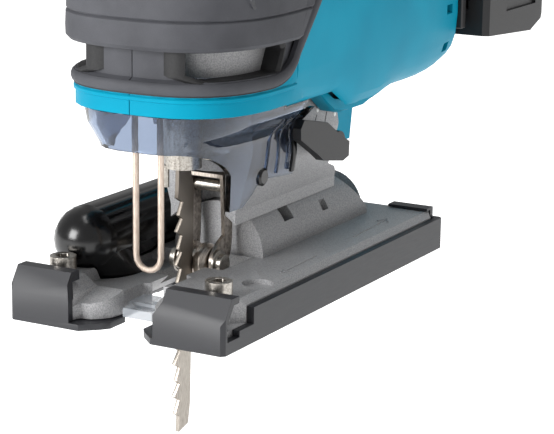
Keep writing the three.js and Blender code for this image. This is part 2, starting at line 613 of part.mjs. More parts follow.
// The blade leans forward towards its tip. Its tang ends in a straight shank inside the plunger.
function blade() {
  const lean = (z) => -(CLAMP_BOTTOM - z) * BLADE_TILT;
  const back = (z) => BLADE_BACK + lean(z);
  const outline = [[back(BLADE_TIP) - 1, BLADE_TIP + 1.5], [back(BLADE_TIP + 8), BLADE_TIP + 8],
    [back(37), 37], [-32.9, 43.8], [-32.9, 57], [-40.1, 57], [-40.1, 43.8], [back(39) - 9.3, 39]];
  for (let z = 36; z > BLADE_TIP + 3; z -= TOOTH_PITCH) {
    const edge = back(z) - BLADE_W;
    outline.push([edge - 0.4, z], [edge + TOOTH_DEPTH, z - 1.6]);
  }
  outline.push([back(BLADE_TIP) - 6.5, BLADE_TIP]);
  return prism('x', outline, -BLADE_T / 2, BLADE_T / 2);
}

function fork() {
  const arm = new THREE.Shape();
  arm.moveTo(FORK_PIN_Y - 3.6, FORK_PIN_Z + 4.5);
  arm.lineTo(FORK_PIN_Y + 3, FORK_PIN_Z + 4.5);
  arm.lineTo(FORK_PIN_Y + 2.6, 20);
  arm.quadraticCurveTo(FORK_PIN_Y + 1.8, 9.6, ROLLER_Y + 1, ROLLER_Z - 3.6);
  arm.quadraticCurveTo(ROLLER_Y - 3.8, ROLLER_Z - 3, ROLLER_Y - 3.2, ROLLER_Z + 1.5);
  arm.quadraticCurveTo(ROLLER_Y - 1.5, ROLLER_Z + 5.5, FORK_PIN_Y - 2.2, 21);
  const holes = add(
    bar([-20, FORK_PIN_Y, FORK_PIN_Z], [20, FORK_PIN_Y, FORK_PIN_Z], 2.3),
    bar([-20, ROLLER_Y, ROLLER_Z], [20, ROLLER_Y, ROLLER_Z], 2.5));
  const sides = [-1, 1].map(side => prism('x', arm, ...across(side, FORK_ARM_X, FORK_ARM_X + 1.2)));
  return cut(add(...sides, block(-6.5, 6.5, FORK_PIN_Y - 3.6, FORK_PIN_Y + 3, 39.8, 41)), holes);
}

function roller() {
  const r = ROLLER_R;
  const profile = [[2.5, -4.9], [r - 1.2, -4.9], [r, -3.4], [r, -1.3], [r - 1.3, -1], [r - 1.3, 1], [r, 1.3],
    [r, 3.4], [r - 1.2, 4.9], [2.5, 4.9], [2.5, -4.9]];
  const g = new THREE.LatheGeometry(profile.map(p => new THREE.Vector2(...p)), 28);
  return solid(g.rotateZ(-Math.PI / 2).translate(0, ROLLER_Y, ROLLER_Z));
}

// One piece with its collar on each side of the fork.
function rollerPin() {
  const at = (x) => [x, ROLLER_Y, ROLLER_Z];
  return add(bar(at(-9.6), at(9.6), 2.2), bar(at(-9.6), at(-6.8), 3.2), bar(at(6.8), at(9.6), 3.2),
    bar(at(-7.7), at(-6.8), 4.4), bar(at(6.8), at(7.7), 4.4));
}

function changeLever() {
  const edge = [[LEVER_Y - 0.5, LEVER_Z + 3.4], [9.7, 54.9], [-6.2, 58.2], [-8.5, 55.6], [-8.3, 51.9],
    [3.3, 45.3], [7.6, 42.5], [LEVER_Y + 1.8, 40], [LEVER_Y + 6, 41], [LEVER_Y + 6.3, LEVER_Z]];
  const arm = new THREE.Shape(edge.map(p => new THREE.Vector2(...p)));
  const hub = bar([17.4, LEVER_Y, LEVER_Z], [26, LEVER_Y, LEVER_Z], 4.6, 4.4, 24);
  return add(prism('x', arm, LEVER_X, LEVER_X + LEVER_T), hub);
}

function wireGuard() {
  const [y, low, high, x] = [-56.8, 16.6, 74, 4.5];
  const bend = range(0, 1, 8).map(t => {
    const a = Math.PI * (1 + t);
    return new THREE.Vector3(x * Math.cos(a), y, low + x + x * Math.sin(a));
  });
  const points = [new THREE.Vector3(-x, y, high), ...bend, new THREE.Vector3(x, y, high)];
  // rings square to the wire, turned in the plane of the U
  const rings = points.map((p, i) => {
    const before = points[Math.max(0, i - 1)];
    const after = points[Math.min(points.length - 1, i + 1)];
    const along = after.clone().sub(before).normalize();
    const across = new THREE.Vector3(along.z, 0, -along.x);
    return range(0, 0.9, 9).map(t => p.clone()
      .addScaledVector(across, Math.cos(t * Math.PI * 2))
      .add(new THREE.Vector3(0, Math.sin(t * Math.PI * 2), 0)));
  });
  return add(loft(rings), block(-9, 9, -58.5, -55, 70, 76.6));
}

put('gear_case', gearCase(), MAT.cast);
put('bevel_bolt', bevelBolt(), MAT.steel);
put('crank_wheel', crankWheel(), MAT.steel);
put('rotor_shaft', rotorShaft(), MAT.steel);
put('plunger', plunger(), MAT.steel);
put('plunger_guide', plungerGuide(), MAT.dark);
put('clamp_sleeve', clampSleeve(), MAT.steel);
put('blade', blade(), MAT.steel);
put('fork', fork(), MAT.steel);
put('fork_pin', bar([-9.5, FORK_PIN_Y, FORK_PIN_Z], [9.5, FORK_PIN_Y, FORK_PIN_Z], 2), MAT.steel);
put('roller', roller(), MAT.steel);
put('roller_pin', rollerPin(), MAT.steel);
put('change_lever', changeLever(), MAT.black);
put('lever_shaft', bar([-10.5, LEVER_Y, LEVER_Z], [17, LEVER_Y, LEVER_Z], 3), MAT.steel);
put('wire_guard', wireGuard(), MAT.steel);

// ---------- clear cover ----------
const COVER_TAIL = 24;           // the sides run on towards here before they are cut off

function coverRing(z, inset) {
  const flare = smooth(53, 65, z);
  const halfW = mix(mix(18.4, 20.2, smooth(33, 46, z)), 28, flare) - inset;
  const front = mix(-65.2, -66.4, flare) + inset;
  return ringAngles.map(a => {
    const [x, y] = superPoint(a, halfW, (COVER_TAIL - front) / 2, 3.4);
    return new THREE.Vector3(x, y + (front + COVER_TAIL) / 2, z);
  });
}

function clearCover() {
  const shell = (inset, low, high) => loft([low, 40, 46, 53, 56, 59, 62, high].map(z => coverRing(z, inset)));
  const side = new THREE.Shape();
  side.moveTo(-80, 55.2);
  side.lineTo(-61.8, 55);
  side.quadraticCurveTo(-45.8, 52.6, -40.5, 45.5);
  side.lineTo(-38.5, 33.5);
  side.lineTo(-31, 33.5);
  side.lineTo(-26.1, 36.6);
  side.lineTo(-21.7, 40.5);
  side.lineTo(-16.6, 40.3);
  side.lineTo(0.7, 38.5);
  side.lineTo(0.7, 66.6);
  side.lineTo(-80, 66.6);
  return cut(shell(0, 33, 66.6), shell(1.8, 32, 68)).intersect(prism('x', side, -40, 40))
    .subtract(barrel(-GAP, BARREL_REAR)).subtract(leverSweep());
}

put('clear_cover', clearCover(), MAT.clear);

// ---------- motor ----------
const ringBar = (y0, y1, outer, inner) => cut(
  bar([0, y0, MOTOR_Z], [0, y1, MOTOR_Z], outer, outer, 32),
  bar([0, y0 - 1, MOTOR_Z], [0, y1 + 1, MOTOR_Z], inner, inner, 32));

function fan() {
  const blades = range(0, 8, 8).map(k => block(-0.6, 0.6, 9, 16, 5, 20)
    .rotate([0, k * 40, 0]).translate([0, 0, MOTOR_Z]));
  return add(ringBar(15, 17, 21, 3), ringBar(8, 16, 6, 3), ...blades).subtract(ringBar(0, 30, 3, 0.5))
    .subtract(bar([0, 0, MOTOR_Z], [0, 30, MOTOR_Z], 3));
}

put('stator', ringBar(22, 72, 21.5, 16), MAT.dark);
put('rotor_core', ringBar(26, 68, 15.4, 2.9), MAT.copper);
put('fan', fan(), MAT.black);
put('front_bearing', ringBar(-4.5, 1, 7.7, 2.9), MAT.steel);
put('rear_bearing', ringBar(86, 92, 8, 2.9), MAT.steel);
put('brush_holder', ringBar(73, 85, 20, 9), MAT.black);

// ---------- controls ----------
const TRIGGER = [[-6, 166], [-2, 161], [4, 160], [18, 161.6], [24, 165], [24, 178], [-6, 178]];
put('trigger', prism('x', TRIGGER, -8, 8), MAT.black);
put('lock_button', bar([9.4, LOCK_Y, LOCK_Z], [20, LOCK_Y, LOCK_Z], 5, 4.7, 24), MAT.black);
put('speed_dial', cut(bar([-5, DIAL_Y, DIAL_Z], [5, DIAL_Y, DIAL_Z], 12.4, 12.4, 36),
  bar([-9, DIAL_Y, DIAL_Z], [9, DIAL_Y, DIAL_Z], 3)), MAT.black);
put('switch_unit', block(-8, 8, 2, 30, 184.6, 196), MAT.black);
put('control_board', block(-9.5, 9.5, 38, 66, 184, 185.6), MAT.green);
put('lamp', add(bar([8, -49, 68.5], [8, -49, 75], 2.6), bar([8, -49, 71], [8, -49, 76.6], 4)), MAT.clear);

// ---------- battery ----------
function batteryMount() {
  let body = add(block(-31, 31, 104.4, 108, 74, 176), block(-24, 24, 99.5, 106, 80, 168));
  for (const side of [-1, 1]) {
    body = add(body,
      block(...across(side, 25, 29), 107, 114.6, 84, 176),
      block(...across(side, 25, 33), 114.6, 117.6, 84, 176));
  }
  return cut(body, block(-12, 12, 102, 110, 128, 150));
}

function batteryCase() {
  const w = BATT_HALF_W;
  const plan = new THREE.Shape();
  const r = 4;
  plan.moveTo(-w, BATT_FRONT + 2);
  plan.lineTo(-w + 2, BATT_FRONT);
  plan.lineTo(w - 2, BATT_FRONT);
  plan.lineTo(w, BATT_FRONT + 2);
  plan.lineTo(w, BATT_REAR - r);
  plan.absarc(w - r, BATT_REAR - r, r, 0, Math.PI / 2);
  plan.lineTo(-w + r, BATT_REAR);
  plan.absarc(-w + r, BATT_REAR - r, r, Math.PI / 2, Math.PI);
  const profile = [[BATT_FRONT - 5, BATT_BOTTOM + 2], [BATT_REAR - 14, BATT_BOTTOM - 1],
    [BATT_REAR - 4, BATT_BOTTOM + 2.5], [BATT_REAR, BATT_BOTTOM + 9], [BATT_REAR + 1, BATT_TOP - 8],
    [BATT_REAR - 6, BATT_TOP], [BATT_FRONT - 5, BATT_TOP]];
  let body = prism('z', plan, 60, 190).intersect(prism('x', profile, -50, 50));
  const inner = w - 2.5;
  body = cut(body, block(-inner, inner, 121, BATT_REAR - 3, 76, 181));
  for (const side of [-1, 1]) {
    body = cut(body,
      block(...across(side, 24.4, 33.6), 114, 118.2, 80, 190),
      block(...across(side, 24.4, 29.6), 110, 115, 80, 190),
      // shallow panel on each side
      block(...across(side, w - 1, 50), 130, 158, 78, 176));
  }
  return cut(body, block(-14.3, 14.3, 110, 120.4, 60, 80), block(-8, 8, 110, 122, 90, 170));
}

function cellBlock() {
  const cells = [];
  for (const y of [131.5, 151]) {
    for (const z of range(87, 167.8, 4)) cells.push(bar([-32.5, y, z], [32.5, y, z], 9.2, 9.2, 12));
  }
  return add(...cells, block(-28, 28, 128, 154, 84, 172));
}

put('battery_mount', batteryMount(), MAT.black);
put('battery_case', batteryCase(), MAT.black);
put('cell_block', cellBlock(), MAT.green);
put('battery_button', add(block(-14, 14, 113.2, 117, 66, 79), block(-10, 10, 110.8, 114, 65, 70)), MAT.shoe);

export default tool;
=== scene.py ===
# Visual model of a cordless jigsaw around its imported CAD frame.
# Lengths are in millimetres until a mesh is made.
import math

import bmesh
import bpy
import numpy as np
from mathutils import Matrix, Vector


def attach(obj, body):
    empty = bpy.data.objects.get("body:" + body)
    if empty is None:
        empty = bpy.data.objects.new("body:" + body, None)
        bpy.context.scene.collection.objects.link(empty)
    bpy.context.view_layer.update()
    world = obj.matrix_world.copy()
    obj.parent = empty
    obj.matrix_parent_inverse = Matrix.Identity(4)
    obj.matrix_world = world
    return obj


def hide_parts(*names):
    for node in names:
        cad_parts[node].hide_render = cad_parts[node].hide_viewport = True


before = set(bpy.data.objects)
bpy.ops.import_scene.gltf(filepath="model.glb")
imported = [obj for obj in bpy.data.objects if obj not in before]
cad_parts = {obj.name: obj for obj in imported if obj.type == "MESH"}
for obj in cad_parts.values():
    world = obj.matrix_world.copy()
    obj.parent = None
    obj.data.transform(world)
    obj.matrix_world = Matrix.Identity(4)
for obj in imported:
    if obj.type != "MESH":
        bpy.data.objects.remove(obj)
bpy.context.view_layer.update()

MM = 0.001
TAU = 2 * math.pi
SHARP = 35                       # edges sharper than this, in degrees, stay crisp
WELD = 0.002                     # points closer than this become one

# ---------- colours ----------
TEAL = "#008EA8"
RUBBER = "#3B3C41"
SHOE = "#1B1C21"
BLACK = "#0F0F12"
GLOSS_BLACK = "#050506"
STEEL = "#ABA69F"
WIRE = "#D6C6B6"
BLADE = "#8F887D"
DARK_STEEL = "#3C3A38"
SMOKE = "#7E8CA3"


def srgb(code):
    """A hex colour as linear red, green, blue and alpha."""
    values = [int(code[i:i + 2], 16) / 255 for i in (1, 3, 5)]
    return tuple(v / 12.92 if v <= 0.04045 else ((v + 0.055) / 1.055) ** 2.4 for v in values) + (1.0,)


# ---------- materials ----------
def add_node(tree, kind, settings=None, values=None, links=None):
    """Adds one node: settings are its properties, values its sockets' constants, links their sources."""
    made = tree.nodes.new(kind)
    for key, value in (settings or {}).items():
        setattr(made, key, value)
    for key, value in (values or {}).items():
        made.inputs[key].default_value = value
    for key, source in (links or {}).items():
        tree.links.new(source, made.inputs[key])
    return made


def finish(name, colour, rough, metal=0.0, ior=None, extra=None):
    """A material with a Principled surface whose constants are set on its own sockets."""
    made = bpy.data.materials.new(name)
    made.use_nodes = True
    tree = made.node_tree
    tree.nodes.clear()
    surface = add_node(tree, "ShaderNodeBsdfPrincipled", values={
        "Base Color": srgb(colour), "Roughness": rough, "Metallic": metal, **(extra or {})})
    if ior:
        surface.inputs["IOR"].default_value = ior
    add_node(tree, "ShaderNodeOutputMaterial", links={"Surface": surface.outputs["BSDF"]})
    return made, tree, surface


def grain(tree, per_mm, detail=3.0, stretch=(1, 1, 1)):
    """Noise on object coordinates, with a number of grains per millimetre."""
    place = add_node(tree, "ShaderNodeTexCoord")
    scaled = add_node(tree, "ShaderNodeMapping", values={"Scale": [s * per_mm / MM for s in stretch]},
                      links={"Vector": place.outputs["Object"]})
    return add_node(tree, "ShaderNodeTexNoise", values={"Scale": 1.0, "Detail": detail, "Roughness": 0.6},
                    links={"Vector": scaled.outputs["Vector"]})


def tint(tree, surface, noise, dark, light, low=0.35, high=0.65):
    """Colour that runs from dark to light with the noise."""
    ramp = add_node(tree, "ShaderNodeMapRange", values={"From Min": low, "From Max": high},
                    links={"Value": noise.outputs["Fac"]})
    mixed = add_node(tree, "ShaderNodeMix", {"data_type": "RGBA"},
                     links={"Factor": ramp.outputs["Result"]})
    mixed.inputs[6].default_value = srgb(dark)
    mixed.inputs[7].default_value = srgb(light)
    tree.links.new(mixed.outputs[2], surface.inputs["Base Color"])
    return mixed


def roughen(tree, surface, noise, low, high):
    """Roughness that varies with the noise."""
    spread = add_node(tree, "ShaderNodeMapRange", values={"To Min": low, "To Max": high},
                      links={"Value": noise.outputs["Fac"]})
    tree.links.new(spread.outputs["Result"], surface.inputs["Roughness"])


def bump(tree, surface, noise, height_mm, strength=1.0):
    """Relief of the given height from the noise."""
    made = add_node(tree, "ShaderNodeBump", values={"Strength": strength, "Distance": height_mm * MM},
                    links={"Height": noise.outputs["Fac"]})
    tree.links.new(made.outputs["Normal"], surface.inputs["Normal"])


def moulded_teal():
    """Glass-filled nylon, moulded and spark-eroded: an even satin colour with a fine matt grain."""
    made, tree, surface = finish("moulded_teal_nylon", TEAL, 0.42, ior=1.5)
    fine = grain(tree, 2.2)
    broad = grain(tree, 0.03, 2.0)
    surface.inputs["Specular IOR Level"].default_value = 0.07
    tint(tree, surface, broad, "#00829E", "#008BA7")
    roughen(tree, surface, fine, 0.36, 0.5)
    bump(tree, surface, fine, 0.02, 0.6)
    return made


def moulded_rubber():
    """Thermoplastic rubber moulded over the housing: matt, with a pebbled grain of about 0.4 mm."""
    made, tree, surface = finish("moulded_grip_rubber", RUBBER, 0.75, ior=1.5)
    fine = grain(tree, 2.4, 4.0)
    broad = grain(tree, 0.05, 3.0)
    tint(tree, surface, broad, "#36373C", "#424348")
    roughen(tree, surface, fine, 0.62, 0.85)
    bump(tree, surface, fine, 0.06, 0.8)
    return made


def shoe_plastic():
    """Hard low-friction plastic of the shoe, moulded smooth, with faint rub marks along the feed."""
    made, tree, surface = finish("moulded_shoe_plastic", SHOE, 0.42, ior=1.5)
    marks = grain(tree, 0.6, 4.0, (6, 0.25, 4))
    fine = grain(tree, 3.0)
    tint(tree, surface, marks, "#18191D", "#1F2025", 0.3, 0.7)
    roughen(tree, surface, marks, 0.36, 0.55)
    bump(tree, surface, fine, 0.015, 0.5)
    return made


def black_plastic():
    """Black ABS with a fine spark-eroded grain."""
    made, tree, surface = finish("moulded_black_abs", BLACK, 0.45, ior=1.5)
    fine = grain(tree, 2.5)
    tint(tree, surface, fine, "#08080A", "#101013")
    roughen(tree, surface, fine, 0.38, 0.55)
    bump(tree, surface, fine, 0.02, 0.6)
    return made


def polished_black():
    """Black ABS from a polished mould: near-mirror gloss with faint scuffs."""
    made, tree, surface = finish("polished_black_abs", GLOSS_BLACK, 0.2, ior=1.5)
    scuffs = grain(tree, 0.35, 5.0, (1, 0.3, 1.6))
    roughen(tree, surface, scuffs, 0.14, 0.3)
    waves = grain(tree, 0.05, 1.0)
    bump(tree, surface, waves, 0.25, 0.25)
    return made


def cast_paint(name, light, dark, rough):
    """Silver paint on sand-cast aluminium: flat, with 0.4 mm grains, a little coarser than real to show."""
    made, tree, surface = finish(name, light, rough, metal=0.35)
    fine = grain(tree, 2.4, 3.0)
    tint(tree, surface, fine, dark, light, 0.38, 0.62)
    roughen(tree, surface, fine, rough - 0.06, rough + 0.12)
    bump(tree, surface, fine, 0.08, 0.7)
    return made


def plated_steel():
    """Zinc-plated steel, turned and tumbled: bright with small pits."""
    made, tree, surface = finish("zinc_plated_steel", STEEL, 0.28, metal=1.0)
    fine = grain(tree, 1.6, 4.0)
    tint(tree, surface, fine, "#8C8780", "#BDB8B0")
    roughen(tree, surface, fine, 0.2, 0.42)
    bump(tree, surface, fine, 0.03, 0.6)
    return made


def ground_steel():
    """Ground bearing steel with warm grey reflections."""
    made, tree, surface = finish("ground_steel", "#B5ABA0", 0.3, metal=1.0)
    rings = grain(tree, 1.2, 4.0, (6, 0.6, 0.6))
    tint(tree, surface, rings, "#8F857B", "#CFC6BC")
    roughen(tree, surface, rings, 0.22, 0.4)
    return made


def nickel_wire():
    """Nickel-plated spring wire with a satin, slightly warm face."""
    made, tree, surface = finish("satin_nickel_wire", WIRE, 0.42, metal=0.7)
    fine = grain(tree, 1.8, 3.0, (1, 1, 0.2))
    tint(tree, surface, fine, "#B3A294", "#CDBFB2")
    roughen(tree, surface, fine, 0.36, 0.5)
    return made


def blade_steel():
    """Rolled blade steel: brown-grey, with marks along the blade, darker above the base than below it."""
    made, tree, surface = finish("rolled_blade_steel", BLADE, 0.38, metal=0.9)
    lines = grain(tree, 1.4, 5.0, (3, 3, 0.25))
    line_tint = tint(tree, surface, lines, "#8F887F", "#BDB6AD")
    # the colour is plain and darker above the base, and streaked and lighter below it
    place = add_node(tree, "ShaderNodeTexCoord")
    parts = add_node(tree, "ShaderNodeSeparateXYZ", links={"Vector": place.outputs["Object"]})
    above = add_node(tree, "ShaderNodeMapRange", values={"From Min": -0.004, "From Max": 0.01},
                     links={"Value": parts.outputs["Z"]})
    scaled = add_node(tree, "ShaderNodeMix", {"data_type": "RGBA"}, links={"Factor": above.outputs["Result"]})
    tree.links.new(line_tint.outputs[2], scaled.inputs[6])
    scaled.inputs[7].default_value = srgb("#7A736B")
    tree.links.new(scaled.outputs[2], surface.inputs["Base Color"])
    roughen(tree, surface, lines, 0.28, 0.5)
    bump(tree, surface, lines, 0.02, 0.5)
    return made


def dark_steel():
    """Phosphated steel: dark grey and slightly rough."""
    made, tree, surface = finish("phosphated_steel", DARK_STEEL, 0.45, metal=0.8)
    fine = grain(tree, 1.5, 3.0)
    tint(tree, surface, fine, "#2C2A28", "#55524E")
    roughen(tree, surface, fine, 0.35, 0.6)
    return made


def smoked_plastic():
    """Clear polycarbonate with a smoke-blue dye, moulded and polished: mirror gloss, slightly wavy."""
    made, tree, surface = finish("smoked_polycarbonate", SMOKE, 0.03, ior=1.45,
                                 extra={"Transmission Weight": 1.0})
    waves = grain(tree, 0.09, 2.0)
    bump(tree, surface, waves, 0.3, 0.3)
    return made


def clear_insert():
    """Nearly colourless polycarbonate of the splinter guard."""
    made, tree, surface = finish("clear_polycarbonate", "#A3A8AE", 0.08, ior=1.45)
    surface.inputs["Alpha"].default_value = 0.55
    waves = grain(tree, 0.2, 2.0)
    bump(tree, surface, waves, 0.2, 0.3)
    return made


def painted_gap_shade():
    """Painted shade: moulded rubber at the bottom of a joint, nearly black and matt, standing for the shade
    that falls there.
    """
    made, tree, surface = finish("painted_gap_shade_rubber", "#121214", 0.6, ior=1.5)
    fine = grain(tree, 2.0)
    roughen(tree, surface, fine, 0.5, 0.8)
    return made


def worn_rubber():
    """The same rubber where hands have polished it: a little darker and smoother."""
    made, tree, surface = finish("hand_polished_rubber", "#303136", 0.5, ior=1.5)
    fine = grain(tree, 2.0)
    roughen(tree, surface, fine, 0.4, 0.6)
    return made


def index_paint():
    """White stamped enamel of the index dots."""
    made, tree, surface = finish("white_enamel", "#E8E8E4", 0.35, ior=1.5)
    fine = grain(tree, 3.0)
    roughen(tree, surface, fine, 0.3, 0.45)
    return made


MATERIALS = {
    "teal_plastic": moulded_teal(),
    "grip_rubber": moulded_rubber(),
    "shoe_plastic": shoe_plastic(),
    "black_plastic": black_plastic(),
    "nozzle_plastic": polished_black(),
    "cast_aluminium": cast_paint("sand_cast_silver_paint", "#A6A6A7", "#868688", 0.5),
    "zinc_steel": plated_steel(),
    "steel": ground_steel(),
    "nickel_wire": nickel_wire(),
    "blade_steel": blade_steel(),
    "dark_steel": dark_steel(),
    "clear_plastic": smoked_plastic(),
    "clear_insert": clear_insert(),
    "deep_shadow_gap": painted_gap_shade(),
    "worn_grip_rubber": worn_rubber(),
    "white_index_paint": index_paint(),
}


# ---------- meshes ----------
def grid_faces(rows, cols, loop=False):
    """Quads of a grid whose columns close round; the rows close too if loop is true, or else get end caps."""
    row = np.arange(rows if loop else rows - 1)[:, None]
    col = np.arange(cols)[None, :]
    here, ahead = row * cols, (row + 1) % rows * cols
    after = (col + 1) % cols
    quads = np.stack([here + col, here + after, ahead + after, ahead + col], axis=-1).reshape(-1, 4).tolist()
    caps = [] if loop else [list(range(cols))[::-1], list(range((rows - 1) * cols, rows * cols))]
    return quads + caps


def shape_piece(name, parts, body, slot, finish_of=None, sharp=SHARP):
    """One object from grids in millimetres: welded at seams and poles, faces out, smooth up to an angle."""
    bm = bmesh.new()
    scratch = bpy.data.meshes.new(name)
    for points, faces in parts:
        scratch.clear_geometry()
        scratch.from_pydata((np.asarray(points).reshape(-1, 3) * MM).tolist(), [], faces)
        bm.from_mesh(scratch)
    bmesh.ops.remove_doubles(bm, verts=bm.verts, dist=WELD * MM)
    bmesh.ops.dissolve_degenerate(bm, edges=bm.edges, dist=WELD * MM)
    bmesh.ops.recalc_face_normals(bm, faces=bm.faces)
    scratch.clear_geometry()
    bm.to_mesh(scratch)
    bm.free()
    return place_mesh(name, scratch, body, slot, finish_of, sharp=sharp)


def place_mesh(name, mesh, body, slot, finish_of=None, replaces=(), sharp=SHARP):
    """The object around a finished mesh: its material, shading, body and the CAD nodes that it stands for."""
    mesh.shade_smooth()
    mesh.set_sharp_from_angle(angle=math.radians(sharp))
    mesh.materials.clear()
    mesh.materials.append(MATERIALS[finish_of or slot])
    made = bpy.data.objects.new(name, mesh)
    bpy.context.scene.collection.objects.link(made)
    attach(made, body)
    if replaces:
        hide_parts(*replaces)
    return made


def from_node(node, body, slot, round_mm, finish_of=None):
    """A CAD node's own shape, welded and with its flat faces joined, then rounded at its edges."""
    bm = bmesh.new()
    bm.from_mesh(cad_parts[node].data)
    bmesh.ops.remove_doubles(bm, verts=bm.verts, dist=WELD * MM)
    bmesh.ops.dissolve_limit(bm, angle_limit=math.radians(0.8), verts=bm.verts, edges=bm.edges)
    mesh = bpy.data.meshes.new(node + "_finished")
    bm.to_mesh(mesh)
    bm.free()
    piece = place_mesh(node + "_finished", mesh, body, slot, finish_of, [node])
    rounding = piece.modifiers.new("edge_rounding", "BEVEL")
    rounding.width = round_mm * MM
    rounding.segments = 2
    rounding.limit_method = "ANGLE"
    rounding.angle_limit = math.radians(SHARP)


# ---------- the housing's outer surface ----------
HEAD_POWER = 2.7
HEAD_WIDTH = 32.0                # half width
HEAD_FRONT, HEAD_REAR = -67.5, 4.0
HEAD_LENGTH = (HEAD_REAR - HEAD_FRONT) / 2
BARREL_FRONT = -20.0
COLUMN_FOOT = 122.0              # the handle's front column starts at this height
REAR_STEP = 30.0                 # mm of y for each unit of s behind the head's middle


def step(low, high, value):
    """Smooth rise from 0 to 1: 3t^2 - 2t^3 with t = (value - low) / (high - low) held between 0 and 1."""
    t = np.clip((value - low) / (high - low), 0, 1)
    return t * t * (3 - 2 * t)


def mix(a, b, t):
    """Straight blend a + (b - a) t."""
    return a + (b - a) * t


def half_width(offset, half, width, power):
    """Half width of a superellipse at an offset from its middle: w (1 - |offset / half|^p)^(1/p)."""
    inside = np.clip(1 - np.abs(offset / half) ** power, 0, 1)
    return width * inside ** (1 / power)


def head_size(z):
    """Half width, middle and half length of the head at height z."""
    rise = step(118, 150, z)
    front, rear = mix(HEAD_FRONT, -60, rise), mix(HEAD_REAR, -12, rise)
    return mix(HEAD_WIDTH, 25, rise), (front + rear) / 2, (rear - front) / 2


def side_x(y, z):
    """Half width of the housing at (y, z): the largest of head, barrel and the handle's front column."""
    width, middle, length = head_size(z)
    head = half_width(y - middle, length, width, HEAD_POWER)
    sag = mix(mix(63, 52.9, step(11, 27, y)), 57, step(43, 60, y))
    low, high = mix(sag, 60, step(90, 104, y)), mix(122, 120, step(60, 104, y))
    centre, half = (high + low) / 2, (high - low) / 2
    power = np.where(z > centre, 2.6, mix(7, 4.2, step(15, 30, y)))
    barrel = half_width(z - centre, half, mix(31.5, 29.5, step(70, 104, y)), power)
    thick, wide = (np.interp(z, [COLUMN_FOOT, 150], ends) for ends in ([26, 23.5], [28, 23]))
    column = half_width(y + 37.3, thick, wide, 2.5)
    return np.maximum(np.maximum(head, barrel * (y > BARREL_FRONT)), column * (z > COLUMN_FOOT))


def skin(s, z, out):
    """Point on the head at height z, out mm off the surface. From s = 0 at the front to 1 at the side the
    superellipse's angle is 90 s degrees, and past 1 y grows by 30 mm for each unit; s < 0 is the right side."""
    def place(s):
        width, middle, length = head_size(z)
        turn = np.clip(np.abs(s), 0, 1) * math.pi / 2
        y = middle - length * np.cos(turn) ** (2 / HEAD_POWER) + REAR_STEP * np.maximum(np.abs(s) - 1, 0)
        x = np.where(np.abs(s) < 1, width * np.sin(turn) ** (2 / HEAD_POWER), side_x(y, z))
        return np.sign(s) * x, y
    x, y = place(s)
    before, after = place(s - 2e-3), place(s + 2e-3)
    along_x, along_y = after[0] - before[0], after[1] - before[1]
    length = np.hypot(along_x, along_y)
    return np.stack(np.broadcast_arrays(x + out * along_y / length, y - out * along_x / length, z), axis=-1)


def bend(start, pull, end, count):
    """Quadratic curve (1-t)^2 a + 2 t (1-t) b + t^2 c."""
    t = np.linspace(0, 1, count)[:, None]
    return (1 - t) ** 2 * np.array(start) + 2 * t * (1 - t) * np.array(pull) + t ** 2 * np.array(end)


# side view (y, z) of the rubber's raised border, from the front upwards
BORDER = np.concatenate([
    bend((-38, 75.6), (-27.8, 75.6), (-23, 80.4), 14),
    bend((-22.4, 81.1), (-14, 90.8), (-4.6, 101), 12),
    bend((-4.2, 101.6), (0.8, 112), (-7.6, 131.5), 20),
    bend((-8.2, 132.4), (-14, 140), (-20, 147), 10)])


def border_y(z):
    """The border's y at height z."""
    return np.interp(z, BORDER[:, 1], BORDER[:, 0])


def border_path():
    """The border's line and normals, from the top right down, round the front and up to the top left."""
    y, z = BORDER[1:, 0], BORDER[1:, 1]
    x = side_x(y, z)
    slope_y = side_x(y + 0.5, z) - side_x(y - 0.5, z)
    slope_z = side_x(y, z + 0.5) - side_x(y, z - 0.5)
    out = np.stack([np.ones_like(y), np.clip(-slope_y, -0.7, 0.7), np.clip(-slope_z, -0.7, 0.7)], axis=-1)
    left = np.stack([x, y, z], axis=-1)
    front_s = np.linspace(-0.94, 0.94, 71)
    front = skin(front_s, np.full_like(front_s, 75.6), 0.0)
    front_out = skin(front_s, np.full_like(front_s, 75.6), 1.0) - front
    flip = np.array([-1, 1, 1])
    path = np.concatenate([left[::-1] * flip, front, left])
    normal = np.concatenate([out[::-1] * flip, front_out, out])
    return path, normal / np.linalg.norm(normal, axis=1, keepdims=True)


def sweep(path, normal, profile):
    """A closed profile (a, b) carried along a path: p + a (t x n) + b n, with t the path's direction."""
    along = np.gradient(path, axis=0)
    side = np.cross(along, normal)
    side /= np.linalg.norm(side, axis=1, keepdims=True)
    profile = np.asarray(profile, float)
    return path[:, None] + side[:, None] * profile[None, :, :1] + normal[:, None] * profile[None, :, 1:]


def swept(name, path, normal, profile, body, slot, **more):
    """One piece from a profile swept along a path, with end caps."""
    grid = sweep(path, normal, profile)
    return shape_piece(name, [(grid, grid_faces(*grid.shape[:2]))], body, slot, **more)


def turned(profile, place, axis, count=40):
    """A profile (r, h) turned round an axis a through c: c + h a + r (u cos t + v sin t), with end caps."""
    axis = np.array(axis, float)
    first = np.cross(axis, [0, 0, 1.0] if abs(axis[2]) < 0.9 else [1.0, 0, 0])
    first /= np.linalg.norm(first)
    second = np.cross(axis, first)
    turn = np.linspace(0, TAU, count, endpoint=False)
    spoke = np.cos(turn)[:, None] * first + np.sin(turn)[:, None] * second
    profile = np.asarray(profile, float)
    grid = np.array(place, float) + profile[:, 1, None, None] * axis + profile[:, 0, None, None] * spoke[None]
    return grid, grid_faces(*grid.shape[:2])


def points_of(mesh):
    """A mesh's points in millimetres."""
    points = np.empty(len(mesh.vertices) * 3)
    mesh.vertices.foreach_get("co", points)
    return points.reshape(-1, 3) / MM


def move_points(mesh, points):
    """Puts the points, in millimetres, back into the mesh."""
    mesh.vertices.foreach_set("co", (points * MM).ravel())
    mesh.update()


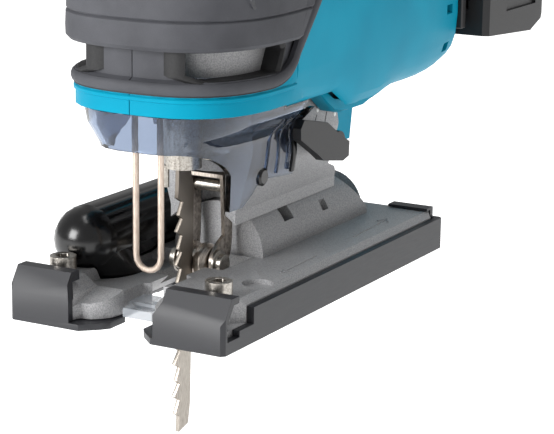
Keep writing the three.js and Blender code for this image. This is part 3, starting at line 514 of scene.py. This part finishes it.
# ---------- pieces that keep their CAD shape ----------
# node, body, slot, rounding of its edges in mm, and the finish where it isn't the slot's own
KEPT = [
    ("base_plate", "base", "cast_aluminium", 0.5),
    ("base_shoe", "base", "shoe_plastic", 0.5),
    ("prong_bolt_right", "base", "zinc_steel", 0.35),
    ("prong_bolt_left", "base", "zinc_steel", 0.35),
    ("dust_nozzle", "base", "nozzle_plastic", 0.3),
    ("splinter_guard", "base", "clear_plastic", 0.3, "clear_insert"),
    ("gear_case", "machine", "cast_aluminium", 0.5),
    ("bevel_bolt", "machine", "zinc_steel", 0.3),
    ("fork_pin", "machine", "zinc_steel", 0.2),
    ("fork", "fork", "steel", 0.2),
    ("roller_pin", "fork", "zinc_steel", 0.25),
    ("roller", "roller", "steel", 0.2),
    ("blade", "plunger", "blade_steel", 0.1),
    ("plunger", "plunger", "steel", 0.2),
    ("clamp_sleeve", "clamp", "zinc_steel", 0.3),
    ("wire_guard", "machine", "nickel_wire", 0.1),
    ("clear_cover", "cover", "clear_plastic", 0.2),
    ("change_lever", "lever", "black_plastic", 0.8),
    ("lever_shaft", "lever", "zinc_steel", 0.2),
    ("housing_left", "machine", "teal_plastic", 0.3),
    ("housing_right", "machine", "teal_plastic", 0.3),
    ("head_rubber_left", "machine", "grip_rubber", 0.3),
    ("head_rubber_right", "machine", "grip_rubber", 0.3),
    ("grip_rubber_left", "machine", "grip_rubber", 0.3),
    ("grip_rubber_right", "machine", "grip_rubber", 0.3),
    ("trigger", "trigger", "black_plastic", 0.8),
    ("lock_button", "lock_button", "black_plastic", 0.6),
    ("speed_dial", "dial", "black_plastic", 0.5),
    ("battery_mount", "machine", "black_plastic", 0.5),
    ("battery_case", "battery", "black_plastic", 1.0),
    ("battery_button", "battery_button", "button_plastic", 0.5, "shoe_plastic"),
]
for row in KEPT:
    from_node(*row)

SUNK_DEPTH = 1.6                 # the rubber between border and band lies this much lower


def recess_rubber(name):
    """Sinks the rubber between its border and its band: outer points with 77.9 < z < 87.6 move inwards."""
    mesh = bpy.data.objects[name].data
    bm = bmesh.new()
    bm.from_mesh(mesh)
    for height in (77.4, 78.2, 87.2, 88.0):
        bmesh.ops.bisect_plane(bm, geom=bm.verts[:] + bm.edges[:] + bm.faces[:],
                               plane_co=(0, 0, height * MM), plane_no=(0, 0, 1))
    bm.to_mesh(mesh)
    bm.free()
    points = points_of(mesh)
    width, middle, length = head_size(points[:, 2])
    reach = (np.abs(points[:, 0] / width) ** HEAD_POWER
             + np.abs((points[:, 1] - middle) / length) ** HEAD_POWER)
    sunk = (points[:, 2] > 77.9) & (points[:, 2] < 87.6) & (reach > 0.95)
    points[sunk, 0] *= 1 - SUNK_DEPTH / HEAD_WIDTH
    points[sunk, 1] = middle[sunk] + (points[sunk, 1] - middle[sunk]) * (1 - SUNK_DEPTH / HEAD_LENGTH)
    move_points(mesh, points)


for side in ("left", "right"):
    recess_rubber(f"head_rubber_{side}_finished")


FIRST_TOOTH = 36.0               # height of the top tooth
TOOTH_PITCH = 5.4
TOOTH_SET = 0.35                 # how far a tip leans to its side
BLADE_LEAN = 0.028               # mm forward for each mm down
TOOTH_LINE = -39.5               # y of the tooth tips where the blade enters its clamp, at CLAMP_FOOT
CLAMP_FOOT = 45.4


def set_teeth():
    """Bends the teeth to alternate sides: x moves by TOOTH_SET at a tip, falling to 0 at the gullet."""
    mesh = bpy.data.objects["blade_finished"].data
    points = points_of(mesh)
    edge = TOOTH_LINE - (CLAMP_FOOT - points[:, 2]) * BLADE_LEAN
    near = np.clip((edge + 2.2 - points[:, 1]) / 2.4, 0, 1) * (points[:, 2] < FIRST_TOOTH + 1)
    turn = np.where(np.round((FIRST_TOOTH - points[:, 2]) / TOOTH_PITCH) % 2 > 0.5, 1, -1)
    points[:, 0] += TOOTH_SET * near * turn
    move_points(mesh, points)


set_teeth()

def trim_far_leg():
    """Takes the leg off the cover's right side: what lies under 0.9 x + z = 39 mm goes, and is closed."""
    mesh = bpy.data.objects["clear_cover_finished"].data
    bm = bmesh.new()
    bm.from_mesh(mesh)
    bmesh.ops.bisect_plane(bm, geom=bm.verts[:] + bm.edges[:] + bm.faces[:], plane_co=(0, 0, 39 * MM),
                           plane_no=Vector((0.9, 0, 1)).normalized(), clear_inner=True)
    bmesh.ops.holes_fill(bm, edges=[e for e in bm.edges if e.is_boundary])
    bm.to_mesh(mesh)
    bm.free()
    mesh.set_sharp_from_angle(angle=math.radians(SHARP))


trim_far_leg()


# the finish of each inner node
INNER = {"stator": "dark_steel", "rotor_core": "dark_steel", "fan": "black_plastic", "rotor_shaft": "steel",
         "front_bearing": "steel", "rear_bearing": "steel", "brush_holder": "black_plastic",
         "switch_unit": "black_plastic", "control_board": "black_plastic", "crank_wheel": "steel",
         "plunger_guide": "dark_steel", "cell_block": "black_plastic", "lamp": "clear_insert"}
for node, slot in INNER.items():
    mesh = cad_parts[node].data
    mesh.materials.clear()
    mesh.materials.append(MATERIALS[slot])


# ---------- rubber on the head ----------
# profile (z, out) of the bulging band
BAND = [(87.0, -1.2), (87.0, 1.6), (88.2, 2.7), (91, 2.8), (95.4, 2.6), (96.0, 1.9), (96.6, 2.5), (104, 2.3),
        (112, 1.9), (118, 1.3), (122, 0.4), (123, -1.2)]


def head_border():
    """The raised border round the head's rubber: a bead 3.6 mm wide and 1.2 mm high along its outline."""
    path, normal = border_path()
    bead = [(-1.8, -1.2), (-1.8, 0.3), (-1.3, 0.9), (-0.5, 1.2), (0.5, 1.2), (1.3, 0.9), (1.8, 0.3),
            (1.8, -1.2)]
    swept("head_border", path, normal, bead, "machine", "grip_rubber")
    # a fine shut line between the border and the teal plastic, painted nearly black as the shade inside it
    line = [(1.7, -0.5), (1.7, 0.35), (2.15, 0.35), (2.15, -0.5)]
    swept("head_joint_shade", path, normal, line, "machine", "grip_rubber", finish_of="deep_shadow_gap")


def rear_flap():
    """Rubber over the barrel up to the border: x = side_x(y, z) + 0.45 outside and side_x - 1 inside."""
    heights = np.linspace(78, 130, 48)
    heights = heights[heights > BAND[0][0] + 0.5]
    share = np.linspace(0, 1, 14)
    y = mix(-30, border_y(heights)[:, None], share[None, :])
    z = np.broadcast_to(heights[:, None], y.shape)
    x = side_x(y, z)
    for side, name in ((1, "left"), (-1, "right")):
        outer = np.stack([side * (x + 0.45), y, z], axis=-1)
        inner = np.stack([side * (x - 1.0), y, z], axis=-1)[:, ::-1]
        grid = np.concatenate([outer, inner], axis=1)
        shape_piece(f"rubber_flap_{name}", [(grid, grid_faces(*grid.shape[:2]))], "machine", "grip_rubber")


def grip_band():
    """The bulging band round the head: its profile at skin(s, z, out), ending 4.5 mm short of the border."""
    z = np.array([b[0] for b in BAND])[None, :]
    out = np.array([b[1] for b in BAND])[None, :]
    share = np.linspace(-1, 1, 241)[:, None]
    end = 1 + (border_y(z) - 4.5 - head_size(z)[1]) / REAR_STEP
    s = share * end
    fade = step(0, 0.03, 1 - np.abs(share))
    out = np.where(out > 0, out * fade, out)
    z = np.broadcast_to(z, s.shape)
    grid = skin(s, z, out)
    shape_piece("grip_band", [(grid, grid_faces(*grid.shape[:2]))], "machine", "grip_rubber", sharp=28)
    # two round studs of darker, worn rubber on each side
    stud = [(0.01, 0.02), (1.3, 0.06), (2.1, 0.22), (2.6, 0.1), (2.6, -1.0), (0.01, -1.0)]
    for side in (1, -1):
        for y, height in ((-49.0, 101.5), (-15.5, 108.0)):
            x = side_x(np.array([y]), np.array([height]))[0] + 2.25
            shape_piece(f"dimple_{side + 1}_{int(-y)}", [turned(stud, (side * x, y, height), (side, 0, 0))],
                        "machine", "grip_rubber", finish_of="worn_grip_rubber")


def window_frames():
    """A bevelled frame round each window and the walls behind it, painted nearly black as the shade in the
    hole: the outline scaled about its middle, at the depths of the profile (depth, grow)."""
    outline = np.array([(-64.2, 79.9), (-60.8, 78.0), (-33.2, 78.0), (-30.0, 84.6), (-31.4, 86.6),
                        (-64.2, 86.6)])
    count = 14
    ahead = np.roll(outline, -1, axis=0)
    share = np.arange(count)[None, :, None] / count
    loop = (outline[:, None] * (1 - share) + ahead[:, None] * share).reshape(-1, 2)
    middle = loop.mean(axis=0)
    half_size = np.array([16.0, 4.4])
    rim = [(-7.5, -0.1), (-1.2, -0.1), (-0.3, 0.7), (-0.3, 1.3), (-1.6, 1.6), (-7.5, 0.5)]
    for side, name in ((1, "left"), (-1, "right")):
        rings = []
        for depth, grow in rim:
            y, z = ((loop - middle) * (1 + grow / half_size) + middle).T
            rings.append(np.stack([side * (side_x(y, z) + depth), y, z], axis=-1))
        grid = np.stack(rings, axis=1)
        shape_piece(f"window_frame_{name}", [(grid, grid_faces(*grid.shape[:2], loop=True))], "machine",
                    "grip_rubber", finish_of="deep_shadow_gap")


def ring_step():
    """The fine step under the top of the teal ring: a bead 0.4 mm high at z = 72 from side to side."""
    s = np.linspace(-1.35, 1.35, 161)
    z = np.full_like(s, 72.0)
    path = skin(s, z, 0.0)
    normal = skin(s, z, 1.0) - path
    bead = [(-0.9, -0.6), (-0.9, 0.1), (-0.5, 0.4), (0.4, 0.4), (0.6, 0.0), (0.6, -0.6)]
    swept("ring_step", path, normal, bead, "machine", "teal_plastic")


head_border()
rear_flap()
grip_band()
window_frames()
ring_step()


# ---------- clear cover, neck and base details ----------
def cover_x(z):
    """Half width of the clear cover at height z."""
    flare = step(53, 65, z)
    return mix(mix(18.4, 20.2, step(33, 46, z)), 28, flare)


def cover_details():
    """Fan ribs and the dark rear edge, swept down the cover's sides, and the pivot on its left."""
    rib = [(-0.55, -0.9), (-0.15, 0.5), (0.15, 0.5), (0.55, -0.9)]
    knob = [(0.01, 0.9), (2.2, 0.9), (2.9, 0.3), (2.9, -1.5), (0.01, -1.5)]
    edge = [(-1.1, -1.2), (-1.1, 0.5), (-0.5, 0.9), (0.5, 0.9), (1.1, 0.5), (1.1, -1.2)]
    for side, name in ((1, "left"), (-1, "right")):
        normal = np.broadcast_to([side, 0.0, 0.0], (16, 3))
        for k, (top, foot) in enumerate(((-16, -20), (-10.5, -12), (-5.5, -4.5))):
            z = np.linspace(59.5, 41.2 if side > 0 else 54.5, 16)
            y = np.linspace(top, foot, 16)
            path = np.stack([side * cover_x(z), y, z], axis=-1)
            swept(f"cover_rib_{name}_{k}", path, normal, rib, "cover", "clear_plastic")
        z = np.linspace(61.5, 39.6 if side > 0 else 54.5, 16)
        path = np.stack([side * (cover_x(z) - 0.6), np.full_like(z, -0.3), z], axis=-1)
        swept(f"cover_edge_{name}", path, normal, edge, "cover", "clear_plastic",
              finish_of="nozzle_plastic")
        if side > 0:
            shape_piece("cover_pivot_left", [turned(knob, (19.6, -20.8, 41.6), (1, 0, 0))], "cover",
                        "clear_plastic", finish_of="nozzle_plastic")


def neck_marks():
    """Three white index dots and their hair lines on each side of the neck."""
    dot = [(0.01, 0.3), (0.5, 0.26), (0.85, 0.1), (0.85, -0.6), (0.01, -0.6)]
    for side, name in ((1, "left"), (-1, "right")):
        for k, (y, z) in enumerate(((20.7, 56.3), (27.5, 56.3), (33.0, 53.0))):
            shape_piece(f"index_dot_{name}_{k}", [turned(dot, (side * 17.0, y, z), (side, 0, 0), 20)],
                        "machine", "cast_aluminium", finish_of="white_index_paint")
        line = [(-0.16, -0.3), (-0.16, 0.08), (0.16, 0.08), (0.16, -0.3)]
        for k, (a, b) in enumerate((((20.2, 54.6), (17.5, 50.5)), ((27.2, 54.6), (25.8, 50.5)))):
            path = np.linspace((side * 17.0, *a), (side * 17.0, *b), 5)
            normal = np.broadcast_to([side, 0.0, 0.0], (5, 3))
            # the hair lines are drawn in the nearly black painted shade of the gaps
            swept(f"index_line_{name}_{k}", path, normal, line, "machine", "cast_aluminium",
                  finish_of="deep_shadow_gap")


def base_marks():
    """Cast guide arrows on the base: low ribs 0.28 mm high on its top."""
    rib = [(-0.45, -0.4), (-0.25, 0.28), (0.25, 0.28), (0.45, -0.4)]
    top = 13.2
    lines = [((28.6, 25.9), (27.1, 55.0)), ((30.3, -27.2), (29.8, -2.9)), ((27.1, 55.0), (25.4, 50.5)),
             ((27.1, 55.0), (29.4, 50.8)), ((30.3, -27.2), (28.2, -22.8)), ((30.3, -27.2), (32.2, -22.6))]
    for side, name in ((1, "left"), (-1, "right")):
        for k, (a, b) in enumerate(lines):
            path = np.linspace((side * a[0], a[1], top), (side * b[0], b[1], top), 6)
            normal = np.broadcast_to([0.0, 0.0, 1.0], (6, 3))
            swept(f"base_mark_{name}_{k}", path, normal, rib, "base", "cast_aluminium")


def nozzle_rings():
    """Two beads round the dust nozzle's mouth: r = 11 + 0.8 over 3 mm of its length."""
    for k, y in enumerate((54.0, 60.0)):
        bead = [(10.4, -1.6), (11.5, -1.6), (11.9, -0.8), (11.9, 0.8), (11.5, 1.6), (10.4, 1.6)]
        grid, _ = turned(bead, (-29.2, y, 20.6), (0, 1, 0), 48)
        grid = np.swapaxes(grid, 0, 1)
        shape_piece(f"nozzle_ring_{k}", [(grid, grid_faces(*grid.shape[:2], loop=True))], "base",
                    "nozzle_plastic")


def dial_ribs():
    """Grip ribs round the speed dial: 24 bars at r = 12.4, each 0.7 mm high."""
    parts = []
    rib = [(-0.5, -0.5), (-0.3, 0.7), (0.3, 0.7), (0.5, -0.5)]
    for turn in np.linspace(0, TAU, 24, endpoint=False):
        out = np.array([0.0, math.cos(turn), math.sin(turn)])
        path = np.linspace((-4.2, 0, 0), (4.2, 0, 0), 4) + np.array([0, -25.2, 191.9]) + 12.3 * out
        grid = sweep(path, np.broadcast_to(out, (4, 3)), rib)
        parts.append((grid, grid_faces(*grid.shape[:2])))
    shape_piece("dial_ribs", parts, "dial", "black_plastic")


def case_screws():
    """Screws that hold the housing's halves, on its right: a teal cup with a dished dark head inside."""
    head = [(0.01, 0.25), (0.9, 0.25), (1.1, 0.7), (2.6, 0.7), (3.1, 0.2), (3.1, -1.5), (0.01, -1.5)]
    cup = [(3.2, -1.0), (3.2, 0.9), (3.6, 1.3), (4.5, 1.3), (5.1, 0.6), (5.1, -1.0)]
    for k, (y, z) in enumerate(((14.0, 84.0), (58.0, 76.0), (58.0, 108.0), (92.0, 84.0))):
        x = side_x(np.array([float(y)]), np.array([float(z)]))[0]
        shape_piece(f"case_screw_{k}", [turned(head, (-x, y, z), (-1, 0, 0), 28)], "machine", "zinc_steel",
                    finish_of="dark_steel")
        grid, _ = turned(cup, (-x, y, z), (-1, 0, 0), 36)
        grid = np.swapaxes(grid, 0, 1)
        shape_piece(f"screw_cup_{k}", [(grid, grid_faces(*grid.shape[:2], loop=True))], "machine",
                    "teal_plastic")


def battery_ribs():
    """Finger ribs on each side of the battery, 0.7 mm high and 7 mm apart, and a level gauge on its rear."""
    rib = [(-0.9, -0.6), (-0.6, 0.5), (0, 0.7), (0.6, 0.5), (0.9, -0.6)]
    for side, name in ((1, "left"), (-1, "right")):
        normal = np.broadcast_to([side, 0.0, 0.0], (6, 3))
        for k, z in enumerate(np.arange(100, 150, 7.0)):
            path = np.linspace((side * 36.6, 134, z), (side * 36.6, 154, z), 6)
            swept(f"battery_rib_{name}_{k}", path, normal, rib, "battery", "black_plastic")
    lens = [(-3, -1.0), (-3, 0.3), (-2.4, 0.6), (2.4, 0.6), (3, 0.3), (3, -1.0)]
    path = np.linspace((-14, 168, 150), (14, 168, 150), 6)
    normal = np.broadcast_to([0.0, 1.0, 0.0], (6, 3))
    swept("battery_gauge", path, normal, lens, "battery", "black_plastic",
          finish_of="nozzle_plastic")


battery_ribs()
cover_details()
neck_marks()
base_marks()
nozzle_rings()
dial_ribs()
case_screws()


# ---------- floor, light and camera ----------
def paper_floor():
    """A sheet of pale paper just under the lowest point that the blade reaches."""
    made, tree, surface = finish("pale_paper", "#FFFFFF", 0.9)
    surface.inputs["Emission Color"].default_value = srgb("#FFFFFF")
    surface.inputs["Emission Strength"].default_value = 0.62
    half, level = 4000.0, -55.0
    points = np.array([[-half, -half, level], [half, -half, level], [half, half, level],
                       [-half, half, level]]) * MM
    mesh = bpy.data.meshes.new("floor")
    mesh.from_pydata(points.tolist(), [], [(0, 1, 2, 3)])
    mesh.materials.append(made)
    floor = bpy.data.objects.new("floor", mesh)
    bpy.context.scene.collection.objects.link(floor)


def soft_light(name, place, size_mm, power):
    """A square soft box aimed at the tool."""
    lamp = bpy.data.lights.new(name, "AREA")
    lamp.size = size_mm * MM
    lamp.energy = power
    made = bpy.data.objects.new(name, lamp)
    made.location = Vector(place) * MM
    aim = Vector((0, 0, 60)) * MM - made.location
    made.rotation_euler = aim.to_track_quat("-Z", "Y").to_euler()
    bpy.context.scene.collection.objects.link(made)


def studio():
    """White surroundings, a large key from the front right of the tool, and a light from above."""
    world = bpy.data.worlds.new("studio")
    bpy.context.scene.world = world
    world.use_nodes = True
    world.node_tree.nodes["Background"].inputs["Color"].default_value = srgb("#FFFFFF")
    world.node_tree.nodes["Background"].inputs["Strength"].default_value = 0.5
    soft_light("key", (-500, -1200, 500), 600, 19)
    soft_light("top", (100, -100, 1400), 700, 8)


CAMERA_AT = (332.8, -579.1, 184.1)
CAMERA_RIGHT = (0.87417, 0.48545, 0.01297)
CAMERA_UP = (-0.12560, 0.20021, 0.97167)
LENS_MM = 135.06


def camera():
    """A long lens from the front left, a little above the base."""
    lens = bpy.data.cameras.new("camera")
    lens.lens = LENS_MM
    lens.sensor_width = 36
    lens.clip_start = 0.01
    made = bpy.data.objects.new("camera", lens)
    right = Vector(CAMERA_RIGHT).normalized()
    back = right.cross(Vector(CAMERA_UP)).normalized()
    up = back.cross(right)
    turn = Matrix((right, up, back)).transposed().to_4x4()
    made.matrix_world = Matrix.Translation(Vector(CAMERA_AT) * MM) @ turn
    bpy.context.scene.collection.objects.link(made)
    bpy.context.scene.camera = made


paper_floor()
studio()
camera()
bpy.context.scene.view_settings.view_transform = "Standard"
